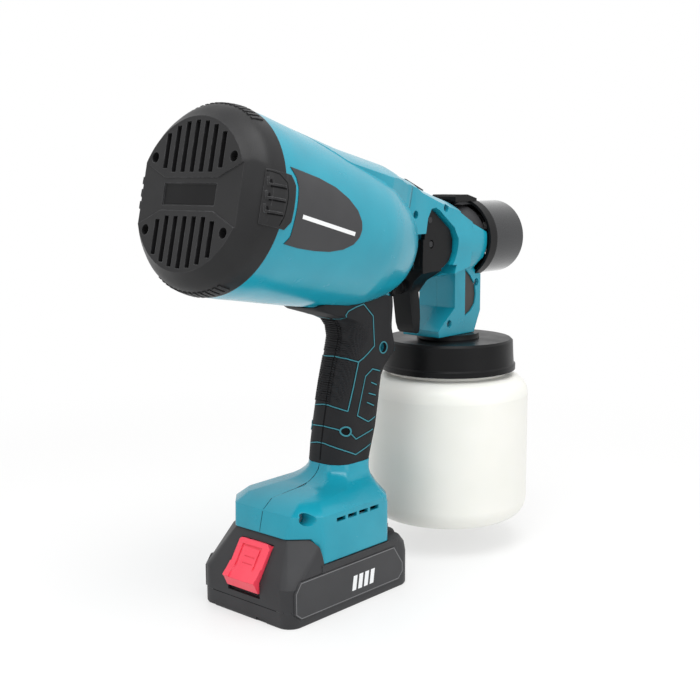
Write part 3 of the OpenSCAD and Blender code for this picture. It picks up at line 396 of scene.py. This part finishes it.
def band(bm, hits, width, lift, sink=0.3, closed=False):
    """Strip of rectangular section that follows the hits on a skin, lift mm proud."""
    n = len(hits)
    if n < 2:
        print("band without hits")
        return
    rows = []
    for i, (p, nor) in enumerate(hits):
        a = hits[i - 1][0] if i or closed else p
        b = hits[(i + 1) % n][0] if i < n - 1 or closed else p
        t = (b - a).normalized()
        k = 1.0
        if (p - a).length and (b - p).length:
            c = (p - a).normalized().dot((b - p).normalized())
            k = min(1.5, 1 / math.sqrt(max(0.3, (1 + c) / 2)))
        w = nor.cross(t).normalized() * (width * k * MM / 2)
        up, down = nor * lift * MM, nor * sink * MM
        rows.append([bm.verts.new(q) for q in (p - w - down, p - w + up, p + w + up, p + w - down)])
    for i in range(n if closed else n - 1):
        r, q = rows[i], rows[(i + 1) % n]
        for j in range(4):
            bm.faces.new((r[j], q[j], q[(j + 1) % 4], r[(j + 1) % 4]))
    if not closed:
        bm.faces.new(rows[0])
        bm.faces.new(rows[-1][::-1])


def slab(bm, hits, lift, sink):
    """Plate whose corners are the hits."""
    if len(hits) < 3:
        print("slab without hits")
        return
    top = [bm.verts.new(p + n * lift * MM) for p, n in hits]
    low = [bm.verts.new(p - n * sink * MM) for p, n in hits]
    bm.faces.new(top)
    bm.faces.new(low[::-1])
    for i in range(len(top)):
        j = (i + 1) % len(top)
        bm.faces.new((top[i], low[i], low[j], top[j]))


def piece(name, bm, mat, body="gun", smooth=False):
    """Visible piece from a bmesh, with a finish, which rides on a body."""
    bmesh.ops.recalc_face_normals(bm, faces=bm.faces)
    mesh = bpy.data.meshes.new(name)
    bm.to_mesh(mesh)
    bm.free()
    for p in mesh.polygons:
        p.use_smooth = smooth
    mesh.materials.append(mat)
    obj = bpy.data.objects.new(name, mesh)
    bpy.context.scene.collection.objects.link(obj)
    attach(obj, body)
    return obj


# ---------------------------------------------------------------- grip
# Lines of the grip: places on the right half (X, distance from the middle plane, Z) and the way
# out of the rubber there.
REAR, CORNER, SIDE = (-1, 0.1), (-0.7, 0.7), (0, 1)
GRIP_LINES = {
    "upper_panel": [(22.8, 0.4, 165.5, REAR), (21.5, 8, 166.4, CORNER), (17.5, 15, 169.4, SIDE),
                    (19.9, 16, 171.7, SIDE), (26.4, 16, 173.5, SIDE), (33.6, 16, 174.8, SIDE),
                    (42.4, 16, 166.7, SIDE), (43.6, 16, 148.1, SIDE), (30.4, 14.6, 139.6, SIDE)],
    "middle_rule": [(25, 0.4, 142.2, REAR), (24.9, 3.1, 142.1, REAR), (25.9, 9.3, 141.6, CORNER),
                    (30.4, 14.6, 139.6, SIDE)],
    "middle_side": [(30.4, 14.6, 139.4, SIDE), (21.6, 13.6, 110.4, SIDE)],
    "third_rule": [(17.2, 0.4, 113.5, REAR), (17.1, 2.9, 113.3, REAR), (18.1, 9.1, 112.2, CORNER),
                   (21.6, 13.6, 110.4, SIDE)],
    "fourth_rule": [(14.3, 0.4, 100.6, REAR), (14.4, 2.9, 100.5, REAR), (15.2, 8.1, 100.1, CORNER),
                    (17.2, 12.7, 99.0, SIDE)],
    "fourth_front": [(22.0, 16, 97.0, SIDE), (26.3, 16, 92.8, SIDE), (42.5, 16, 96.3, SIDE)],
    "fifth_rule": [(12.5, 0.4, 90.5, REAR), (12.5, 3.3, 90.4, REAR), (13.4, 8.5, 89.3, CORNER),
                   (17.7, 14.1, 86.9, SIDE), (26, 16, 83.2, SIDE), (40.9, 16, 87.4, SIDE)],
    "front_panel": [(49.1, 16, 131.9, SIDE), (41.8, 16, 134.1, SIDE), (35.2, 16, 130.3, SIDE),
                    (27.7, 16, 107.1, SIDE), (37.7, 16, 101.8, SIDE), (45.0, 16, 103.8, SIDE)],
    "dash_1": [(40.6, 16, 125.9, SIDE), (46.0, 16, 123.6, SIDE)],
    "dash_2": [(38.2, 16, 119.5, SIDE), (44.8, 16, 117.3, SIDE)],
    "dash_3": [(36.6, 16, 114.0, SIDE), (43.2, 16, 111.0, SIDE)],
}
LOWER_BOSS = (19.6, 98.4)  # X, Z of the lower screw in the photo
UPPER_HOLE = (52, 146.2)  # X, Z of the upper screw's hole
CAD_HOLE = (34, 104)  # X, Z of the CAD's lower hole, which rubber covers
RIDGE_LOW, RIDGE_TOP, RIDGE_PITCH = 114.9, 164.5, 1.36
RIDGE_REACH = {-1: 12, 1: 66}  # degrees round the rear edge on each half
BEHIND = -80  # X from which rays look forwards at the grip


def follow(skin, controls, s):
    """Hits along a line of controls on the right (s = -1) or left (s = 1) half."""
    flat = [(x, y * s, z, out[0], out[1] * s) for x, y, z, out in controls]
    start = 30
    return skin.rays([((x + dx * start, y + dy * start, z), (-dx, -dy, 0))
                      for x, y, z, dx, dy in fine(flat, 0.9)])


def round_back(skin, z, s, reach, steps=9):
    """Hits round the grip's rear edge at a height, from the seam to the side."""
    inside, out = 11, 60
    rear = skin.hit((BEHIND, s * 0.4, z), (1, 0, 0))
    if not rear:
        return []
    centre = rear[0].x / MM + inside
    pairs = [((BEHIND, s * 0.35, z), (1, 0, 0))]
    for i in range(1, steps):
        a = math.radians(reach * i / (steps - 1))
        d = (math.cos(a), -s * math.sin(a), 0)
        pairs.append(((centre - out * d[0], -out * d[1], z), d))
    return skin.rays(pairs)


def grip_trim():
    """Teal lines, each with painted groove shade (a dark band) either side; screw collars, the
    lower one with painted shade in its hole; the cover of the CAD hole; rear ridges.
    """
    for s, side in SIDES:
        skin = Skin("grip_" + side)
        lines, seam_and_painted_shade, ridges, cover = bmesh.new(), bmesh.new(), bmesh.new(), bmesh.new()
        for controls in GRIP_LINES.values():
            hits = follow(skin, controls, s)
            # painted shade: a dark band wider than each teal line, standing in for the shade in the
            # line's groove
            band(seam_and_painted_shade, hits, 1.6, 0.03)
            band(lines, hits, 0.7, 0.12)
        band(lines, skin.ring(*LOWER_BOSS, 2.7, s), 0.9, 0.55, closed=True)
        # painted shade: a dark disc inside the lower collar, standing in for the shade in the
        # screw's hole
        band(seam_and_painted_shade, skin.ring(*LOWER_BOSS, 1.2, s), 2.4, 0.06, closed=True)
        band(lines, skin.ring(*UPPER_HOLE, 3.5, s), 0.7, 0.25, closed=True)
        slab(cover, skin.ring(*CAD_HOLE, 3.6, s), 0.02, 0.6)
        z, rule = RIDGE_LOW, GRIP_LINES["middle_rule"][0][2]
        while z < RIDGE_TOP:
            if abs(z - rule) > 1.3:
                hits = round_back(skin, z, s, RIDGE_REACH[s])
                if len(hits) > 3:
                    band(ridges, hits, 0.72, 0.55)
            z += RIDGE_PITCH
        # the seam between the halves, down the rear edge
        seam = [((BEHIND, s * 0.3, h), (1, 0, 0)) for h in range(68, 168, 3)]
        band(seam_and_painted_shade, skin.rays(seam), 0.5, 0.05)
        piece("grip_lines_" + side, lines, TRIM["line_teal"])
        piece("grip_seam_and_painted_shade_" + side, seam_and_painted_shade, TRIM["joint_and_painted_shade_black"])
        piece("grip_ridges_" + side, ridges, MATS["rubber"])
        piece("grip_cover_" + side, cover, MATS["rubber"])


# ---------------------------------------------------------------- battery, badges, seams
CHARGE_BAR = [(0, 9.6), (3.4, 9.6), (4.8, 18.4), (1.4, 18.4)]
BAR_X, BAR_PITCH = -2, 5.2
INLAY_RIM = [(-48.7, 8.9), (-44.7, 5.7), (40.7, 5.7), (44.5, 9.4), (44.5, 14.8), (36.4, 26.3),
             (-44.7, 26.3), (-48.8, 20.8), (-48.7, 8.9)]
BATTERY_SEAM_Z = 9.7


def battery_trim():
    """Four plain charge bars, and a painted highlight strip round the edge of each side inlay."""
    skin = Skin("battery_side_panels")
    for s, side in SIDES:
        bars, light = bmesh.new(), bmesh.new()
        for i in range(4):
            x0 = BAR_X + i * BAR_PITCH
            corners = [((x0 + x, s * FAR, z), (0, -s, 0)) for x, z in CHARGE_BAR]
            slab(bars, skin.rays(corners), 0.05, 0.1)
        # painted highlight: a light band round the inlay's rim, where its bevel would catch the
        # light
        band(light, skin.side(INLAY_RIM, s, 2)[:-1], 0.5, 0.08, 0.1, closed=True)
        piece("charge_bars_" + side, bars, TRIM["white_print"], "battery")
        piece("inlay_painted_highlight_" + side, light, TRIM["painted_highlight_edge"], "battery")


def badge_trim():
    """A blank strip on each badge."""
    skin = Skin("side_badges")
    ends = [leaning(-116.5, 0, -4.0), leaning(-71, 0, -4.9)]
    for s, side in SIDES:
        strip = bmesh.new()
        band(strip, skin.side([(p[0], p[2]) for p in ends], s, 2), 2.2, 0.05, 0.1)
        piece("blank_strip_" + side, strip, TRIM["white_print"])


def seam_trim():
    """Fine joint lines between the two shells at the foot, and round the battery."""
    shells = Skin("housing_right", "housing_left")
    seam = bmesh.new()
    y = 0.02  # beside the middle plane, so that no ray runs along the joint
    runs = [
        [((x, y, FAR), (0, 0, -1)) for x in (-37, -30, -20, -10, 0)],
        [((-FAR, y, z), (1, 0, 0)) for z in (47.5, 50, 53, 56, 59, 62, 64)],
        [((-FAR, y, z), (1, 0, 0)) for z in (68.5, 70, 72, 74, 76, 77.8)],
    ]
    for run in runs:
        band(seam, shells.rays(run), 0.35, 0.03, 0.2)
    piece("foot_seam", seam, TRIM["gap_dark"])
    case = Skin("battery_case_upper", "battery_case_lower")
    line = bmesh.new()
    pairs, centre, out = [], -30, 90
    for a in range(-78, 79, 6):
        t = math.radians(a)
        d = (math.cos(t), math.sin(t), 0)
        pairs.append(((centre - out * d[0], -out * d[1], BATTERY_SEAM_Z), d))
    band(line, case.rays(pairs), 0.4, 0.03, 0.2)
    piece("battery_joint", line, TRIM["joint_and_painted_shade_black"], "battery")


# ---------------------------------------------------------------- rear cap, in the leaning frame
PAD_REAR, PAD_FRONT = -143.4, -124.6
PAD_LOW, PAD_TALL = -13, 28
PAD_CELLS = 12
PAD_RIB_Z = (7.4, 0.6, -6.2)
PAD_GROOVE = [(-143.2, 14.0), (-136.5, 13.6), (-131.2, 10.2), (-130.0, 4.0), (-130.6, -6.4),
              (-132.4, -11.6)]
TOOTH_X = (-141.2, -138.8, -136.4, -134)
TOOTH_PITCH = 4.3  # degrees


def pad_grid(skin, s):
    """Rows of hits under the pad, whose front corners are cut off."""
    # the front edge is straight this far from its middle, then slants back by cut
    middle, straight, slant, cut = 1.2, 9.5, 4.5, 3.4
    grid = []
    for i in range(PAD_CELLS + 1):
        row = []
        for j in range(PAD_CELLS + 1):
            z = PAD_LOW + PAD_TALL * j / PAD_CELLS
            front = PAD_FRONT - cut * max(0, abs(z - middle) - straight) / slant
            x = PAD_REAR + (front - PAD_REAR) * i / PAD_CELLS
            row.append(skin.hit(*lean_ray(x, s * FAR, z, 0, -s, 0)))
        grid.append(row)
    return grid


def pad_plate(bm, grid):
    """Closed plate over the rows of hits."""
    n, lift, sink = PAD_CELLS, 0.75, 0.5
    top = [[bm.verts.new(p + nor * lift * MM) for p, nor in row] for row in grid]
    low = [[bm.verts.new(p - nor * sink * MM) for p, nor in row] for row in grid]
    for i in range(n):
        for j in range(n):
            bm.faces.new((top[i][j], top[i + 1][j], top[i + 1][j + 1], top[i][j + 1]))
            bm.faces.new((low[i][j], low[i][j + 1], low[i + 1][j + 1], low[i + 1][j]))
    edge = [(0, j) for j in range(n)] + [(i, n) for i in range(n)]
    edge += [(n, j) for j in range(n, 0, -1)] + [(i, 0) for i in range(n, 0, -1)]
    for (a, b), (c, d) in zip(edge, edge[1:] + edge[:1]):
        bm.faces.new((top[a][b], low[a][b], low[c][d], top[c][d]))


def cap_trim():
    """A ribbed pad on each side of the cap with a painted shadow band below each rib, teeth on its
    rim, and its blank field.
    """
    cap = Skin("rear_cap")
    both = Skin("rear_cap", "housing_right", "housing_left", "side_badges")
    pads, rib_shadows_and_groove, teeth, field = bmesh.new(), bmesh.new(), bmesh.new(), bmesh.new()
    for s, _ in SIDES:
        grid = pad_grid(both, s)
        if any(h is None for row in grid for h in row):
            print("pad without hits")
            continue
        pad_plate(pads, grid)
        for z in PAD_RIB_Z:
            path = [(-142.2, z + 3.4), (-141.8, z), (-132.6, z + 0.6)]
            # painted shadow: a dark band just below and ahead of each rib, where the rib's shade
            # falls
            shade = [(x + 0.9, q - 0.9) for x, q in fine(path, 1)]
            band(pads, both.lean_side(path, s), 1.1, 1.5, 0)
            band(rib_shadows_and_groove, both.lean_side(shade, s), 0.8, 0.82, 0)
        band(rib_shadows_and_groove, both.lean_side(PAD_GROOVE, s), 0.5, 0.80, 0)
    # short teeth on the rim, above and below
    for first, last in ((-34, 26), (150, 206)):
        a = first
        while a <= last:
            dy, dz = math.sin(math.radians(a)), math.cos(math.radians(a))
            path = [lean_ray(x, FAR * dy, FAR * dz, 0, -dy, -dz) for x in TOOTH_X]
            hits = cap.rays(path)
            if len(hits) > 2:
                band(teeth, hits, 2.0, 0.65, 0.4)
            a += TOOTH_PITCH
    corners = ((-20, -5.2), (20, -5.2), (20, 5.2), (-20, 5.2))
    slab(field, cap.rays([lean_ray(-200, y, z, 1, 0, 0) for y, z in corners]), 0.1, 0.3)
    piece("cap_field", field, TRIM["black_gloss"])
    piece("cap_pads", pads, TRIM["cap_black"])
    piece("cap_pad_rib_shadows_and_groove", rib_shadows_and_groove, TRIM["joint_and_painted_shade_black"])
    piece("cap_teeth", teeth, TRIM["cap_black"])


# ---------------------------------------------------------------- springs
def coil(node, axis, turns, wire, body):
    """Wound spring in the place of a CAD sleeve, which is hidden."""
    pts = [v.co for v in NODES[node].data.vertices]
    up, y = Vector(axis).normalized(), Vector((0, 1, 0))
    side = y.cross(up)
    lo, hi = min(p.dot(up) for p in pts), max(p.dot(up) for p in pts)
    mid = (min(p.dot(side) for p in pts) + max(p.dot(side) for p in pts)) / 2
    wire *= MM
    r = max(p.y for p in pts) - wire
    foot = side * mid + up * lo
    per_turn, around = 24, 8
    steps = int(turns * per_turn)
    bm = bmesh.new()
    rows = []
    for i in range(steps + 1):
        t = turns * i / steps
        # half a turn at each end lies flat
        rise = min(1, max(0, (t - 0.5) / (turns - 1)))
        a = 2 * math.pi * t
        out = side * math.cos(a) + y * math.sin(a)
        centre = foot + up * (wire + (hi - lo - 2 * wire) * rise) + out * r
        angles = [2 * math.pi * k / around for k in range(around)]
        rows.append([bm.verts.new(centre + (out * math.cos(b) + up * math.sin(b)) * wire)
                     for b in angles])
    for a, b in zip(rows, rows[1:]):
        for k in range(around):
            j = (k + 1) % around
            bm.faces.new((a[k], b[k], b[j], a[j]))
    bm.faces.new(rows[0])
    bm.faces.new(rows[-1][::-1])
    obj = piece(node + "_coil", bm, MATS["steel"], body, smooth=True)
    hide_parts(node)
    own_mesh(obj)


# ---------------------------------------------------------------- stage, light, camera
def make_camera():
    """The camera that was fitted to the photo's outlines."""
    focal_px, width_px = 1131.05, 700
    data = bpy.data.cameras.new("camera")
    data.sensor_width = 36
    data.sensor_fit = "HORIZONTAL"
    data.lens = focal_px / width_px * data.sensor_width
    data.clip_start = 0.02
    data.clip_end = 30
    cam = bpy.data.objects.new("camera", data)
    right = Vector((0.66538917, -0.7464884, -0.00351162))
    up = Vector((0.11822122, 0.10073045, 0.98786493))
    back = -Vector((0.73707598, 0.65772977, -0.15527572))
    m = Matrix((right, up, back)).transposed().to_4x4()
    m.translation = Vector((-476.79, -460.33, 253.17)) * MM
    cam.matrix_world = m
    bpy.context.scene.collection.objects.link(cam)
    bpy.context.scene.camera = cam


def seen_white(tree, out, emitter, shader, amount=1.0, fade=None):
    """Rays from the camera, a mirror or glass see plain white by amount; all light comes from
    shader. Between the two distances of fade (m) the amount rises to 1."""
    def node(kind, **kw):
        n = tree.nodes.new("ShaderNode" + kind)
        for k, v in kw.items():
            setattr(n, k, v)
        return n

    def link(a, b):
        tree.links.new(a, b)

    path = node("LightPath")
    top = node("Math", operation="MAXIMUM")
    link(path.outputs["Is Camera Ray"], top.inputs[0])
    link(path.outputs["Is Transmission Ray"], top.inputs[1])
    also = node("Math", operation="MAXIMUM")
    link(top.outputs[0], also.inputs[0])
    link(path.outputs["Is Glossy Ray"], also.inputs[1])
    scale = node("Math", operation="MULTIPLY")
    scale.inputs[1].default_value = amount
    link(also.outputs[0], scale.inputs[0])
    if fade:
        far = node("VectorMath", operation="LENGTH")
        ramp = node("MapRange", interpolation_type="SMOOTHSTEP")
        keys = ("From Min", "From Max", "To Min", "To Max")
        for key, v in zip(keys, (*fade, amount, 1.0)):
            ramp.inputs[key].default_value = v
        link(node("TexCoord").outputs["Object"], far.inputs[0])
        link(far.outputs["Value"], ramp.inputs["Value"])
        link(ramp.outputs["Result"], scale.inputs[1])
    white = node(emitter)
    white.inputs["Color"].default_value = WHITE
    white.inputs["Strength"].default_value = 1.0
    mix = node("MixShader")
    link(scale.outputs[0], mix.inputs["Fac"])
    link(shader, mix.inputs[1])
    link(white.outputs[0], mix.inputs[2])
    link(mix.outputs[0], out.inputs["Surface"])


def make_stage():
    """White floor and white world."""
    half = 6.0
    mesh = bpy.data.meshes.new("floor")
    bm = bmesh.new()
    corners = ((-half, -half, 0), (half, -half, 0), (half, half, 0), (-half, half, 0))
    bm.faces.new([bm.verts.new(p) for p in corners])
    bm.to_mesh(mesh)
    bm.free()
    floor = bpy.data.objects.new("floor", mesh)
    bpy.context.scene.collection.objects.link(floor)
    m = bpy.data.materials.new("white_floor")
    m.use_nodes = True
    t = m.node_tree
    p = t.nodes["Principled BSDF"]
    p.inputs["Base Color"].default_value = (0.88, 0.88, 0.875, 1)
    p.inputs["Roughness"].default_value = 0.42
    p.inputs["Specular IOR Level"].default_value = 0.25
    # partly white, so that the shadow stays, and wholly white away from the object
    seen_white(t, t.nodes["Material Output"], "Emission", p.outputs[0], 0.55, fade=(0.3, 0.7))
    mesh.materials.append(m)
    world = bpy.data.worlds.new("studio")
    bpy.context.scene.world = world
    world.use_nodes = True
    t = world.node_tree
    bg = t.nodes["Background"]
    bg.inputs["Color"].default_value = WHITE
    bg.inputs["Strength"].default_value = 0.7
    seen_white(t, t.nodes["World Output"], "Background", bg.outputs[0])


def area(name, place, target, size, power):
    """Lamp of a size (m) and power (W) at a place, aimed at a target."""
    data = bpy.data.lights.new(name, "AREA")
    data.shape = "RECTANGLE"
    data.size, data.size_y = size
    data.energy = power
    obj = bpy.data.objects.new(name, data)
    obj.location = place
    aim = Vector(target) - Vector(place)
    obj.rotation_euler = aim.to_track_quat("-Z", "Y").to_euler()
    bpy.context.scene.collection.objects.link(obj)


dress_nodes()
grip_trim()
battery_trim()
badge_trim()
cap_trim()
seam_trim()
coil("release_spring", (SIN, 0, COS), 6.5, 0.35, "head")
coil("needle_spring", (1, 0, 0), 7.5, 0.38, "head")
coil("battery_latch_spring", (0.529919, 0, 0.848048), 4.5, 0.33, "battery")
make_camera()
make_stage()
area("top_box", (-0.2, -0.35, 1.3), (0.02, 0, 0.15), (1.0, 0.8), 11)
area("left_box", (-1.0, 0.1, 0.6), (0, 0, 0.15), (0.7, 0.8), 1.6)
area("front_box", (0.0, -1.2, 0.5), (0, 0, 0.15), (0.8, 0.8), 2.4)

bpy.context.scene.view_settings.view_transform = "Standard"
